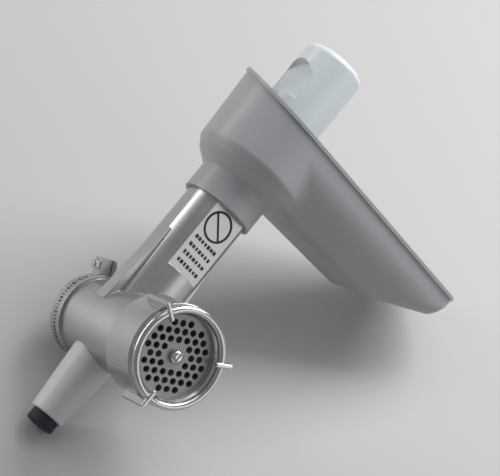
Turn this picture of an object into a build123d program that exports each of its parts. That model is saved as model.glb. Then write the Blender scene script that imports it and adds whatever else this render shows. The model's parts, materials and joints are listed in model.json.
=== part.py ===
"""Meat grinder head for an electric kitchen machine: cast barrel, worm, knife, disc, tray and pusher.

Frame: the origin is the middle of the rear coupling spigot, on the barrel's axis.
+Z runs up the feed tube, the outlet faces -Y, and the tray reaches towards +X.
"Forward" distances are measured from the origin towards -Y, along the barrel.
"""
import os
from math import cos, hypot, radians, sin, sqrt

from build123d import *

os.makedirs("parts", exist_ok=True)

# ---- driving dimensions, millimetres ----
running = 0.05              # radial clearance of a shaft in its bore
loose = 0.3                 # gap between pieces that only pass each other

tube_at = 41.5              # feed tube's axis, forward of the origin
barrel_radius = 24.5
barrel_bore = 21.3
barrel_rear = 7.5
chamber_rear = 25.5         # rear wall of the worm's chamber
collar_radius = 26.2        # raised collar that stops the lock ring
collar_length = 2.2
shoulder_radius = 26.6      # step behind the threaded boss
shoulder_rear = 76.5
boss_radius = 27.9          # threaded front boss, under the ring nut
boss_rear = 79.0
boss_front = 104.7
knife_bore = 24.4
knife_rear = 94.7
disc_rear = 101.2
disc_front = 106.2
disc_radius = 26.6
hole_pitch = 5.4
hole_radius = 1.95
pin_radius = 4.0
stud_square = 8.0

spigot_radius = 17.0
spigot_length = 9.0
flange_radius = 21.8
lug_radius = 24.0
ring_rear = 7.6
ring_front = 17.0
ring_inner = 23.55
ring_outer = 25.2

screw_circle = 19.4         # the three screws that hold the sleeve
screw_radius = 1.5
screw_head_radius = 2.0
screw_sunk = 1.4
screw_length = 9.0
lug_span = 36               # degrees covered by a bayonet lug
lug_starts = (35, 155, 215, 275)
sleeve_bore = 12.5
bush_radius = 13.0
seal_rear = 9.0
seal_length = 3.4
journal_radius = 8.0
coupling_radius = 10.5

tube_radius = 20.0
tube_bore = 16.9
tube_flat = 16.0            # front flat of the feed tube, from the tube's axis
flat_wall = 2.8
flat_bottom = 45.0
gusset_top = 62.0
gusset_foot = 6.0
gusset_inside = 15.0
gusset_top_reach = 19.7     # from the tube's axis to the gusset's slanted edge
gusset_foot_reach = 24.4
gusset_thick = 9.5
tube_top = 100.0

socket_bottom = 91.0
socket_radius = 22.8
bowl_floor = 107.5
bowl_low_radius = 35.2
bowl_radius = 37.6
bowl_corner = 120.5
corner_round = 6.0
tray_high = 190.0
tray_end = 156.0
tray_half = 37.4
crease_half = 35.4
crease_height = 134.0
crease_round = 30.0
meeting_round = 20.0        # where the bowl's side meets the trough's
keel_half = 16.0
keel_round = 8.0
keel_near = 111.8
keel_far = 117.0
keel_break = 109.0
ramp_top = 134.5
end_low = 145.0
end_corner = 24.0
end_round = 6.0
end_lean = 0.5              # the end wall leans out by this much for its height
rim_height = 163.2          # rim above the barrel's axis, over the feed tube's axis
rim_tip = 15.0              # degrees: the rim drops towards the outlet
rim_fall = 0.6              # degrees: and towards the tray's far end
wall = 2.0
lip = 1.0
lip_height = 2.2

handle_radius = 19.9
neck_radius = 19.2
neck_top = 112.0
plug_radius = 13.0
handle_top = 204.5
stem_bottom = 30.0
scoop_depth = 14.3
scoop_bottom = 167.0
scoop_top = 191.0

leg_top = 18.0
leg_top_radius = 14.2
leg_boss_radius = 8.5
leg_boss_end = 30.0
stud_radius = 4.0
stud_top = 22.4
leg_low = 64.0
leg_low_radius = 10.7
foot_bottom = 71.0
foot_radius = 8.6

nut_rear = 79.6
nut_lip_rear = 107.0
nut_lip_front = 108.7
nut_front = 113.2
nut_radius = 29.2
nut_opening = 24.0
bead_centre = 27.4
bead_radius = 2.3
fin_tip = 34.0
fin_thick = 2.8
fin_angles = (30, 150, 270)

tube_y = -tube_at


def forward(distance):
    """Plane across the barrel, facing the outlet, this far forward of the origin."""
    return Plane.XZ.offset(distance)


def level(height):
    """Plane across the feed tube, this high above the barrel's axis."""
    return Plane(origin=(0, tube_y, height))


def rim_plane(below=0.0):
    """The tray's rim plane, or the plane this far below it."""
    plane = Plane(
        origin=(0, tube_y, rim_height),
        x_dir=(cos(radians(rim_fall)), 0, -sin(radians(rim_fall))),
        z_dir=(
            sin(radians(rim_fall)),
            -sin(radians(rim_tip)),
            cos(radians(rim_tip)) * cos(radians(rim_fall)),
        ),
    )
    return plane.offset(-below)


def finish(piece, name, colour):
    """Label a finished piece and write its file."""
    piece.label = name
    piece.color = Color(*colour)
    export_step(piece, f"parts/{name}.step")


def save(builder, name, colour=(0.7, 0.7, 0.72)):
    finish(builder.part, name, colour)


def thread_rings(start, stop, pitch, radius, depth):
    """V grooves round a boss or pin on the barrel's axis, as profiles to revolve."""
    grooves = []
    at = start
    while at < stop:
        grooves.append(
            [(radius + 0.2, -at + pitch * 0.3), (radius - depth, -at), (radius + 0.2, -at - pitch * 0.3)]
        )
        at += pitch
    return grooves


# ---- barrel casting: barrel, feed tube, gussets, threaded boss and leg boss ----
with BuildPart() as barrel:
    with BuildSketch(forward(barrel_rear)):
        Circle(ring_inner - running)
    extrude(amount=ring_front + 0.1 - barrel_rear)
    with BuildSketch(forward(ring_front + 0.1)):
        Circle(collar_radius)
    extrude(amount=collar_length)
    with BuildSketch(forward(ring_front + 0.1 + collar_length)):
        Circle(barrel_radius)
    extrude(amount=boss_rear - ring_front - 0.1 - collar_length)
    with BuildSketch(forward(shoulder_rear)):
        Circle(shoulder_radius)
    extrude(amount=boss_rear - shoulder_rear)
    with BuildSketch(forward(boss_rear)):
        Circle(boss_radius)
    extrude(amount=boss_front - boss_rear)
    # feed tube with its front flat, which stops at a step above the barrel
    with BuildSketch(level(0)):
        Circle(tube_radius)
    extrude(amount=tube_top)
    with BuildSketch(level(flat_bottom)):
        with Locations((0, -tube_flat - 5)):
            Rectangle(2 * tube_radius, 10)
    extrude(amount=tube_top, mode=Mode.SUBTRACT)
    # wedge-shaped gussets at the sides of the tube's foot
    for side in (-1, 1):
        with BuildSketch(Plane.XZ.offset(tube_at - 3.0)):
            with BuildLine():
                Polyline(
                    (side * gusset_inside, gusset_top),
                    (side * gusset_top_reach, gusset_top),
                    (side * gusset_foot_reach, gusset_foot),
                    (side * gusset_inside, gusset_foot),
                    close=True,
                )
            make_face()
        extrude(amount=gusset_thick)
    # boss for the leg
    with BuildSketch(level(-leg_boss_end)):
        Circle(leg_boss_radius)
    extrude(amount=12)
    # bores
    with BuildSketch(forward(barrel_rear)):
        Circle(bush_radius)
    extrude(amount=chamber_rear - barrel_rear, mode=Mode.SUBTRACT)
    with BuildSketch(forward(chamber_rear)):
        Circle(barrel_bore)
    extrude(amount=knife_rear - chamber_rear, mode=Mode.SUBTRACT)
    with BuildSketch(forward(knife_rear - 1.0)):
        Circle(knife_bore)
    extrude(amount=disc_rear - knife_rear + 1.0, mode=Mode.SUBTRACT)
    with BuildSketch(forward(disc_rear)):
        Circle(disc_radius + running)
    extrude(amount=boss_front - disc_rear, mode=Mode.SUBTRACT)
    with BuildSketch(level(5)) as throat:
        Circle(tube_bore)
        with Locations((0, -tube_flat + flat_wall - 5)):
            Rectangle(2 * tube_bore, 10, mode=Mode.SUBTRACT)
    extrude(amount=tube_top, mode=Mode.SUBTRACT)
    # key slot at the bottom of the disc's seat
    with BuildSketch(forward(disc_rear - 3.0)):
        with Locations((0, -disc_radius + 0.4)):
            Circle(1.2)
    extrude(amount=boss_front - disc_rear + 3.0, mode=Mode.SUBTRACT)
    # thread grooves on the boss
    for groove in thread_rings(boss_rear + 4.0, disc_rear - 4.0, 3.0, boss_radius, 0.6):
        with BuildSketch(Plane.XY):
            with BuildLine():
                Polyline(*groove, close=True)
            make_face()
        revolve(axis=Axis.Y, mode=Mode.SUBTRACT)
    # seats for the leg's stud and the sleeve's screws
    with BuildSketch(level(-leg_boss_end)):
        Circle(stud_radius)
    extrude(amount=leg_boss_end - stud_top, mode=Mode.SUBTRACT)
    with BuildSketch(forward(barrel_rear)):
        with PolarLocations(screw_circle, 3, start_angle=90):
            Circle(screw_radius)
    extrude(amount=8, mode=Mode.SUBTRACT)
save(barrel, "barrel", (0.75, 0.76, 0.78))

# ---- rear coupling sleeve: spigot, flange and bayonet lugs ----
with BuildPart() as coupling_sleeve:
    with BuildSketch(forward(-spigot_length / 2)):
        Circle(spigot_radius)
    extrude(amount=spigot_length)
    with BuildSketch(forward(spigot_length / 2)):
        Circle(flange_radius)
        for angle in lug_starts:
            with BuildLine():
                Line((0, 0), (lug_radius * cos(radians(angle)), lug_radius * sin(radians(angle))))
                far_side = radians(angle + lug_span)
                CenterArc((0, 0), lug_radius, angle, lug_span)
                Line((lug_radius * cos(far_side), lug_radius * sin(far_side)), (0, 0))
            make_face()
    extrude(amount=barrel_rear - spigot_length / 2)
    with BuildSketch(forward(-spigot_length / 2)):
        Circle(sleeve_bore)
    extrude(amount=20, mode=Mode.SUBTRACT)
    with BuildSketch(forward(spigot_length / 2)):
        with PolarLocations(screw_circle, 3, start_angle=90):
            Circle(screw_radius)
    extrude(amount=5, mode=Mode.SUBTRACT)
    with BuildSketch(forward(spigot_length / 2)):
        with PolarLocations(screw_circle, 3, start_angle=90):
            Circle(screw_head_radius + 0.1)
    extrude(amount=screw_sunk, mode=Mode.SUBTRACT)
save(coupling_sleeve, "coupling_sleeve", (0.72, 0.72, 0.74))

# ---- three identical screws that hold the sleeve ----
with BuildPart() as sleeve_screws:
    with BuildSketch(forward(spigot_length / 2 + 0.2)):
        with PolarLocations(screw_circle, 3, start_angle=90):
            Circle(screw_head_radius)
    extrude(amount=screw_sunk - 0.2)
    with BuildSketch(forward(spigot_length / 2 + screw_sunk)):
        with PolarLocations(screw_circle, 3, start_angle=90):
            Circle(screw_radius)
    extrude(amount=screw_length)
save(sleeve_screws, "sleeve_screws", (0.6, 0.6, 0.62))

# ---- bush and seal in the barrel's rear wall ----
with BuildPart() as rear_bush:
    with BuildSketch(forward(seal_rear + seal_length + 0.1)):
        Circle(bush_radius)
        Circle(journal_radius + running, mode=Mode.SUBTRACT)
    extrude(amount=chamber_rear - seal_rear - seal_length - 0.1)
save(rear_bush, "rear_bush", (0.85, 0.82, 0.7))

with BuildPart() as shaft_seal:
    with BuildSketch(forward(seal_rear)):
        Circle(bush_radius - 0.1)
        Circle(journal_radius + running, mode=Mode.SUBTRACT)
    extrude(amount=seal_length)
save(shaft_seal, "shaft_seal", (0.12, 0.12, 0.13))

# ---- worm: twisted flight on a core, with its journal ----
flight_start = 29.0
flight_stop = 93.7
flight_turns = 2.25
flight_land = 52            # degrees of the section that reach the flight's full radius
core_radius = 9.5
flight_radius = barrel_bore - loose
worm_collar_radius = 14.0
worm_collar_length = 1.5
worm_rear = 12.6
shank_radius = 5.0
shank_depth = 14.0
square_length = 6.6
pin_length = 9.2
with BuildSketch(forward(flight_start)) as flight_section:
    with BuildLine():
        Line((0, 0), (flight_radius, 0))
        CenterArc((0, 0), flight_radius, 0, flight_land)
        Line(flight_radius * Vector(cos(radians(flight_land)), sin(radians(flight_land))), (0, 0))
    make_face()
    Circle(core_radius)
    vertices = flight_section.vertices().filter_by(lambda v: hypot(v.X, v.Z) > core_radius + 1)
    fillet(vertices, 2.0)
flight = Solid.extrude_linear_with_rotation(
    flight_section.sketch.faces()[0],
    (0, -flight_start, 0),
    (0, -(flight_stop - flight_start), 0),
    360 * flight_turns,
)
with BuildPart() as worm:
    add(flight)
    with BuildSketch(forward(worm_rear)):
        Circle(journal_radius)
    extrude(amount=flight_start - worm_rear)
    with BuildSketch(forward(flight_start - worm_collar_length)):
        Circle(worm_collar_radius)
    extrude(amount=worm_collar_length)
    with BuildSketch(forward(flight_stop - shank_depth)):
        Circle(shank_radius)
    extrude(amount=20, mode=Mode.SUBTRACT)
    with BuildSketch(forward(10.0)):
        Circle(2.0)
    extrude(amount=14, mode=Mode.SUBTRACT)
save(worm, "worm", (0.7, 0.7, 0.72))

# ---- thrust washer between the worm's collar and the bush ----
with BuildPart() as thrust_washer:
    with BuildSketch(forward(25.7)):
        Circle(13.5)
        Circle(journal_radius, mode=Mode.SUBTRACT)
    extrude(amount=1.6)
save(thrust_washer, "thrust_washer", (0.9, 0.9, 0.88))

# ---- worm stud: shank, square for the knife and round nose through the disc ----
with BuildPart() as worm_stud:
    with BuildSketch(forward(flight_stop - shank_depth)):
        Circle(shank_radius)
    extrude(amount=shank_depth + 0.6)
    with BuildSketch(forward(flight_stop + 0.6)):
        Rectangle(stud_square, stud_square)
    extrude(amount=square_length)
    with BuildSketch(forward(flight_stop + 0.6 + square_length)):
        Circle(pin_radius)
    extrude(amount=pin_length)
    fillet(worm_stud.faces().sort_by(Axis.Y)[0].edges(), 2.6)
    with BuildSketch(forward(flight_stop + 15.2)):
        Rectangle(1.2, 6.0)
    extrude(amount=3, mode=Mode.SUBTRACT)
save(worm_stud, "worm_stud", (0.8, 0.8, 0.82))

# ---- four-winged knife ----
knife_hub = 8.2
knife_tip = 21.5
knife_wing = 6.4
knife_thick = 6.0
with BuildPart() as knife:
    with BuildSketch(forward(flight_stop + 1.2)):
        Circle(knife_hub)
        with PolarLocations(0, 4, start_angle=20):
            with Locations((11.0, 1.4)):
                Rectangle(19.0, knife_wing)
        Rectangle(stud_square + 0.04, stud_square + 0.04, mode=Mode.SUBTRACT)
    extrude(amount=knife_thick)
    with BuildSketch(forward(flight_stop)):
        Circle(30)
        Circle(knife_tip, mode=Mode.SUBTRACT)
    extrude(amount=12, mode=Mode.SUBTRACT)
save(knife, "knife", (0.8, 0.8, 0.82))

# ---- perforated disc ----
row_step = hole_pitch * sqrt(3) / 2
hole_places = []
for row in range(-4, 5):
    for step in range(-6, 7):
        place = (row * row_step, (step + (row % 2) / 2) * hole_pitch)
        if 1.5 * hole_pitch < hypot(*place) < 3.7 * hole_pitch:
            hole_places.append(place)
with BuildPart() as perforated_disc:
    with BuildSketch(forward(disc_rear)):
        Circle(disc_radius)
        Circle(pin_radius + running, mode=Mode.SUBTRACT)
        with Locations(*hole_places):
            Circle(hole_radius, mode=Mode.SUBTRACT)
        with Locations((0, -disc_radius + 0.4)):
            Circle(1.55, mode=Mode.SUBTRACT)
    extrude(amount=disc_front - disc_rear)
save(perforated_disc, "perforated_disc", (0.62, 0.62, 0.64))

with BuildPart() as disc_key:
    with BuildSketch(forward(disc_rear - 2.9)):
        with Locations((0, -disc_radius + 0.4)):
            Circle(1.15)
    extrude(amount=boss_front - disc_rear + 2.4)
save(disc_key, "disc_key", (0.6, 0.6, 0.62))

# ---- slip ring between the disc and the nut's lip ----
with BuildPart() as slip_ring:
    with BuildSketch(forward(disc_front + 0.1)):
        Circle(disc_radius)
        Circle(nut_opening + 0.1, mode=Mode.SUBTRACT)
    extrude(amount=nut_lip_rear - disc_front - 0.2)
save(slip_ring, "slip_ring", (0.9, 0.9, 0.88))

# ---- ring nut: skirt, lip, flared mouth, bead and three fins ----
with BuildPart() as ring_nut:
    with BuildSketch(Plane.XY):
        with BuildLine():
            Polyline(
                (boss_radius + running, -nut_rear),
                (nut_radius - 0.5, -nut_rear),
                (nut_radius, -nut_rear - 0.8),
                (nut_radius, -nut_lip_rear + 2.6),
                (nut_radius + 0.7, -nut_lip_rear + 2.0),
                (nut_radius + 0.7, -nut_lip_rear + 0.8),
                (nut_radius - 0.9, -nut_lip_rear),
                (nut_radius - 0.9, -nut_lip_front - 1.4),
                (bead_centre, -nut_front + bead_radius + 0.6),
                (bead_centre, -nut_front + 0.8),
                (bead_centre - 1.4, -nut_front + 1.6),
                (nut_opening, -nut_lip_front),
                (nut_opening, -nut_lip_rear),
                (boss_radius + running, -nut_lip_rear),
                close=True,
            )
        make_face()
        with Locations((bead_centre, -nut_front + bead_radius)):
            Circle(bead_radius)
    revolve(axis=Axis.Y)
    for angle in fin_angles:
        along = Plane(
            origin=(0, 0, 0),
            x_dir=(cos(radians(angle)), 0, sin(radians(angle))),
            z_dir=(sin(radians(angle)), 0, -cos(radians(angle))),
        )
        with BuildPart() as fin:
            with BuildSketch(along.offset(-fin_thick / 2)) as outline:
                with BuildLine():
                    Polyline(
                        (28.8, 89.7),
                        (fin_tip, 91.2),
                        (fin_tip, nut_front + 0.4),
                        (22.6, nut_front + 0.9),
                        (22.6, nut_front - 1.6),
                        (28.8, nut_front - 3.0),
                        close=True,
                    )
                make_face()
                fillet(outline.vertices().filter_by(lambda v: hypot(v.X, v.Z) < 22.7), 1.15)
            extrude(amount=fin_thick)
            sides = fin.faces().filter_by(lambda f: abs(f.normal_at().dot(along.z_dir)) > 0.99)
            fillet(sides.edges(), 1.0)
        add(fin.part)
save(ring_nut, "ring_nut", (0.78, 0.78, 0.8))

# ---- drive coupling on the worm's tail and its screw ----
with BuildPart() as drive_coupling:
    with BuildSketch(forward(-3.0)):
        Circle(coupling_radius)
        RegularPolygon(6.0, 6, mode=Mode.SUBTRACT)
    extrude(amount=8.6)
    with BuildSketch(forward(5.6)):
        Circle(coupling_radius)
        Circle(2.0, mode=Mode.SUBTRACT)
    extrude(amount=3.2)
    with BuildSketch(forward(8.8)):
        Circle(journal_radius - 0.2)
        Circle(2.0, mode=Mode.SUBTRACT)
    extrude(amount=3.8)
save(drive_coupling, "drive_coupling", (0.15, 0.15, 0.17))

with BuildPart() as coupling_screw:
    with BuildSketch(forward(3.6)):
        Circle(4.0)
        Rectangle(5.4, 1.0, mode=Mode.SUBTRACT)
    extrude(amount=1.4)
    with BuildSketch(forward(5.0)):
        Circle(4.0)
    extrude(amount=0.6)
    with BuildSketch(forward(5.6)):
        Circle(2.0)
    extrude(amount=17)
save(coupling_screw, "coupling_screw", (0.6, 0.6, 0.62))

# ---- split lock ring with two ears, its nut and its screw ----
ear_angle = 118.0
ear_middle = (ring_rear + ring_front) / 2
ear_plane = Plane(
    origin=(0, -ear_middle, 0),
    x_dir=(cos(radians(ear_angle)), 0, sin(radians(ear_angle))),
    z_dir=(sin(radians(ear_angle)), 0, -cos(radians(ear_angle))),
)
screw_height = 31.0
with BuildPart() as lock_ring:
    with BuildSketch(forward(ring_rear)):
        Circle(ring_outer)
        Circle(ring_inner, mode=Mode.SUBTRACT)
    extrude(amount=ring_front - ring_rear)
    for start, thick in ((-6.6, 6.6), (1.6, 1.8)):
        with BuildSketch(ear_plane.offset(start)) as ear:
            with Locations((29.6, 0)):
                Rectangle(11.0, 7.6)
        extrude(amount=thick)
    with BuildSketch(ear_plane):
        with Locations((ring_outer + 2, 0)):
            Rectangle(14, 20)
    extrude(amount=1.6, mode=Mode.SUBTRACT)
    with BuildSketch(forward(ring_rear)):
        Circle(ring_inner)
    extrude(amount=12, mode=Mode.SUBTRACT)
    with BuildSketch(ear_plane.offset(-10)):
        with Locations((screw_height, 0)):
            Circle(1.75)
    extrude(amount=20, mode=Mode.SUBTRACT)
save(lock_ring, "lock_ring", (0.72, 0.72, 0.74))

with BuildPart() as lock_screw:
    with BuildSketch(ear_plane.offset(3.5)):
        with Locations((screw_height, 0)):
            Circle(3.2)
            Rectangle(5.0, 0.9, mode=Mode.SUBTRACT)
    extrude(amount=1.2)
    with BuildSketch(ear_plane.offset(-9.6)):
        with Locations((screw_height, 0)):
            Circle(1.7)
    extrude(amount=13.1)
save(lock_screw, "lock_screw", (0.6, 0.6, 0.62))

with BuildPart() as lock_nut:
    with BuildSketch(ear_plane.offset(-9.0)):
        with Locations((screw_height, 0)):
            RegularPolygon(3.4, 6)
            Circle(1.75, mode=Mode.SUBTRACT)
    extrude(amount=2.3)
save(lock_nut, "lock_nut", (0.6, 0.6, 0.62))

# ---- support leg, its stud and its rubber foot ----
with BuildPart() as support_leg:
    with BuildSketch(level(-leg_top)):
        Circle(leg_top_radius)
    with BuildSketch(level(-leg_low)):
        Circle(leg_low_radius)
    loft()
    fillet(support_leg.faces().sort_by(Axis.Z)[0].edges(), 1.2)
    with BuildSketch(forward(0)):
        Circle(barrel_radius)
    extrude(amount=80, mode=Mode.SUBTRACT)
    with BuildSketch(level(-leg_boss_end)):
        Circle(leg_boss_radius)
    extrude(amount=20, mode=Mode.SUBTRACT)
    with BuildSketch(level(-44.5)):
        Circle(stud_radius)
    extrude(amount=20, mode=Mode.SUBTRACT)
    with BuildSketch(level(-leg_low)):
        Circle(5.0)
    extrude(amount=8, mode=Mode.SUBTRACT)
save(support_leg, "support_leg", (0.9, 0.91, 0.93))

with BuildPart() as leg_stud:
    with BuildSketch(level(-44.0)):
        Circle(stud_radius)
    extrude(amount=44.0 - stud_top)
    chamfer(leg_stud.edges().filter_by(GeomType.CIRCLE), 0.6)
save(leg_stud, "leg_stud", (0.6, 0.6, 0.62))

with BuildPart() as leg_foot:
    with BuildSketch(level(-foot_bottom)):
        Circle(foot_radius)
    extrude(amount=foot_bottom - leg_low)
    fillet(leg_foot.faces().sort_by(Axis.Z)[0].edges(), 1.6)
    with BuildSketch(level(-leg_low)):
        Circle(5.0)
    extrude(amount=7.4)
save(leg_foot, "leg_foot", (0.1, 0.11, 0.14))


# ---- hopper tray: a round bowl over the feed tube and a boat-shaped trough ----
def bowl(inset):
    """Round end of the tray, its walls this far inside the outer surface."""
    floor_slope = 7.0
    with BuildPart() as shape:
        with BuildSketch(Plane.XZ.offset(tube_at)):
            with BuildLine():
                start = (0, bowl_floor + inset)
                foot = (socket_radius, bowl_floor + inset)
                edge = (bowl_low_radius - 4.0 - inset * 0.6, bowl_floor + floor_slope + inset)
                side = (bowl_low_radius - inset, bowl_corner)
                top = (bowl_radius - inset + 0.55, tray_high)
                Polyline(start, foot, edge, side, top, (0, tray_high), close=True)
            make_face()
        revolve(axis=Axis((0, tube_y, 0), (0, 0, 1)))
        corner = shape.edges().filter_by(GeomType.CIRCLE)
        fillet(corner.filter_by_position(Axis.Z, bowl_floor + 4, bowl_corner + 1), corner_round - inset)
    return shape.part


def trough(inset):
    """Boat-shaped trough: a cross-section, a side profile and a plan, each this far inside."""
    half = tray_half - inset
    with BuildPart() as shape:
        with BuildSketch(Plane.YZ.offset(-4)) as section:
            with BuildLine():
                Polyline(
                    (tube_y - half - 0.6, tray_high),
                    (tube_y - crease_half + inset, crease_height),
                    (tube_y - keel_half + inset * 0.5, keel_near - 3),
                    (tube_y + keel_half - inset * 0.5, keel_near - 3),
                    (tube_y + crease_half - inset, crease_height),
                    (tube_y + half + 0.6, tray_high),
                    close=True,
                )
            make_face()
            creases = section.vertices().filter_by(lambda v: abs(v.Y - crease_height) < 1)
            fillet(creases, crease_round - inset)
        extrude(amount=tray_end + 20)
        with BuildSketch(Plane.XZ.offset(tube_at - 60)):
            with BuildLine():
                Polyline(
                    (-6, tray_high + 5),
                    (-6, keel_near + inset),
                    (0, keel_near + inset),
                    (keel_break, keel_far + inset),
                    (end_low - inset * 1.1, ramp_top + inset),
                    (end_low - inset * 1.1 + (tray_high + 5 - ramp_top) * end_lean, tray_high + 5),
                    close=True,
                )
            make_face()
        extrude(amount=120, mode=Mode.INTERSECT)
        with BuildSketch(level(100)):
            length = tray_end + 60
            with Locations((tray_end + 1.2 - inset - length / 2, 0)):
                RectangleRounded(length, 2 * half + 2.4, end_corner - inset)
            with Locations((tray_end / 4, 0)):
                Rectangle(tray_end / 2 + 20, 2 * half + 2.4)
        extrude(amount=tray_high - 95, mode=Mode.INTERSECT)
        low = shape.edges().filter_by_position(Axis.Z, keel_near - 5, crease_height - 4)
        keel = low.filter_by(lambda e: keel_half < abs(e.center().Y - tube_y) < 31 and 2 < e.center().X < 130)
        across = low.filter_by(Axis.Y).filter_by_position(Axis.X, keel_break - 2, keel_break + 2)
        fillet(keel + across, keel_round - inset)
        if inset == 0:
            end = shape.edges().filter_by(Axis.Y).filter_by_position(Axis.X, end_low - 10, end_low + 2)
            fillet(end.sort_by(Axis.Z)[0], end_round)
    return shape.part


def blended_hull(inset, blend_round):
    """Bowl and trough in one, with the creases where their sides meet rounded over."""
    both = bowl(inset) + trough(inset)
    meeting = [
        edge
        for edge in both.edges()
        if 2 < edge.center().X < 14 and crease_height < edge.center().Z < 175 and 15 < edge.length < 60
    ]
    return both.fillet(blend_round, meeting)


with BuildPart() as above_rim:
    with BuildSketch(rim_plane()):
        Rectangle(600, 300)
    extrude(amount=80)
with BuildPart() as rim_slab:
    with BuildSketch(rim_plane(lip_height)):
        Rectangle(600, 300)
    extrude(amount=lip_height)

outer_hull = blended_hull(0.0, meeting_round) - above_rim.part
inner_hull = blended_hull(wall, meeting_round - 3 * wall)
rim_lip = (bowl(-lip) + trough(-lip)) & rim_slab.part

with BuildPart() as hopper_tray:
    add(outer_hull)
    add(rim_lip)
    with BuildSketch(level(socket_bottom)):
        Circle(socket_radius)
    extrude(amount=bowl_floor + 2 - socket_bottom)
    add(inner_hull, mode=Mode.SUBTRACT)
    with BuildSketch(level(socket_bottom)):
        Circle(tube_radius + loose)
        with Locations((0, -tube_flat - loose - 5)):
            Rectangle(2 * tube_radius + 2, 10, mode=Mode.SUBTRACT)
    extrude(amount=tube_top + 0.1 - socket_bottom, mode=Mode.SUBTRACT)
    with BuildSketch(level(tube_top)):
        Circle(neck_radius + loose)
    extrude(amount=20, mode=Mode.SUBTRACT)
save(hopper_tray, "hopper_tray", (0.9, 0.91, 0.93))

# ---- pusher: keyed stem, neck, handle with a thumb scoop; its bottom plug ----
with BuildPart() as pusher_body:
    with BuildSketch(level(stem_bottom)):
        Circle(tube_bore - loose)
        with Locations((0, -tube_flat + flat_wall + loose - 5)):
            Rectangle(2 * tube_bore, 10, mode=Mode.SUBTRACT)
    extrude(amount=tube_top + loose - stem_bottom)
    with BuildSketch(level(tube_top + loose)):
        Circle(neck_radius)
    extrude(amount=neck_top - tube_top - loose)
    with BuildSketch(level(neck_top)):
        Circle(handle_radius)
    extrude(amount=handle_top - neck_top)
    fillet(pusher_body.faces().sort_by(Axis.Z)[-1].edges(), 4.5)
    shoulder = pusher_body.edges().filter_by_position(Axis.Z, neck_top - 0.1, neck_top + 0.1)
    chamfer(shoulder.filter_by(GeomType.CIRCLE).sort_by(SortBy.RADIUS)[-1], 0.5)
    with BuildSketch(Plane.YZ.offset(-scoop_depth)):
        with BuildLine():
            Line((tube_y + 13.6, scoop_bottom), (tube_y - 13.6, scoop_bottom))
            Line((tube_y - 13.6, scoop_bottom), (tube_y - 13.6, scoop_top - 8))
            ThreePointArc(
                (tube_y - 13.6, scoop_top - 8),
                (tube_y, scoop_top),
                (tube_y + 13.6, scoop_top - 8),
            )
            Line((tube_y + 13.6, scoop_top - 8), (tube_y + 13.6, scoop_bottom))
        make_face()
    extrude(amount=-10, mode=Mode.SUBTRACT)
    with BuildSketch(level(stem_bottom)):
        Circle(plug_radius - 1.0)
    extrude(amount=110, mode=Mode.SUBTRACT)
    with BuildSketch(level(stem_bottom)):
        Circle(plug_radius)
    extrude(amount=4, mode=Mode.SUBTRACT)
save(pusher_body, "pusher_body", (0.93, 0.95, 0.96))

with BuildPart() as pusher_plug:
    with BuildSketch(level(stem_bottom)):
        Circle(plug_radius)
    extrude(amount=4)
    with BuildSketch(level(stem_bottom + 4)):
        Circle(plug_radius - 1.0)
        Circle(plug_radius - 3.0, mode=Mode.SUBTRACT)
    extrude(amount=5)
save(pusher_plug, "pusher_plug", (0.93, 0.95, 0.96))
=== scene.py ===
"""Looks for the meat grinder head: smooth skins, cast and turned metal, moulded plastic and marks."""

import json
from math import cos, hypot, pi, radians, sin, sqrt

import bmesh
import bpy
from bpy.props import FloatProperty, FloatVectorProperty, IntProperty, PointerProperty
from mathutils import Matrix, Vector


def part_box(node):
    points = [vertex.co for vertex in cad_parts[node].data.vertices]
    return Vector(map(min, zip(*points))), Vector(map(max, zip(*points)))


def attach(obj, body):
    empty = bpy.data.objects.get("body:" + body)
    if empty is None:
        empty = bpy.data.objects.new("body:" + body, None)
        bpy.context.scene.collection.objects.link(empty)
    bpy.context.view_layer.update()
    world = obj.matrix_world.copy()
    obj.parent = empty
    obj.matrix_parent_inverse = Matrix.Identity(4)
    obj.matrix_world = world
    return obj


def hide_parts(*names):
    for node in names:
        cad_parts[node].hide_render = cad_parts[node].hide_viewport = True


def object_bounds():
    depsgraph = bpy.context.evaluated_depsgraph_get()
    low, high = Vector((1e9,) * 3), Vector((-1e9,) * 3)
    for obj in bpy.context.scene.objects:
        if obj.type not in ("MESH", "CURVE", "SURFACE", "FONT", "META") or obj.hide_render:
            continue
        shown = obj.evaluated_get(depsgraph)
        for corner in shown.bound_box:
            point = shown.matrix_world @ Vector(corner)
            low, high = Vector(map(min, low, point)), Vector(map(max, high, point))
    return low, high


bl_info = {
    "name": "Meat grinder head",
    "version": (1, 0, 0),
    "blender": (4, 5, 0),
    "location": "View3D > Sidebar > Grinder",
    "description": "Builds the skins, marks and stage of a meat grinder head round its frame",
    "category": "Object",
}

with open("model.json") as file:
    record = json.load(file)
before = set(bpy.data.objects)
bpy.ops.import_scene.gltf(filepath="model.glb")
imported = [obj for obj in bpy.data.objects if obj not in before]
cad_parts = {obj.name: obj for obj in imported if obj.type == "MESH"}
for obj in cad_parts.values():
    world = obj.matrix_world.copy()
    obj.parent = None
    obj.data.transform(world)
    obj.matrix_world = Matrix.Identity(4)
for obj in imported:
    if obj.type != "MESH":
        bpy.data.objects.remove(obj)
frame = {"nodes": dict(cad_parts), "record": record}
CAD_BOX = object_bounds()

MM = 0.001
BODY_OF = {node: body for body, nodes in frame["record"]["behaviour"]["bodies"].items() for node in nodes}

TUBE_AXIS = (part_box("pusher_plug")[0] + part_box("pusher_plug")[1]) / 2
DISC_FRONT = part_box("perforated_disc")[0].y
TUBE_FLAT = 16.0 * MM
SKIN_SHARP_ANGLE = radians(34.0)
MARK_SHARP_ANGLE = radians(40.0)
LOCK_RING_RADIUS = 25.2 * MM
LOCK_RING_MIDDLE = -12.3 * MM

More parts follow.
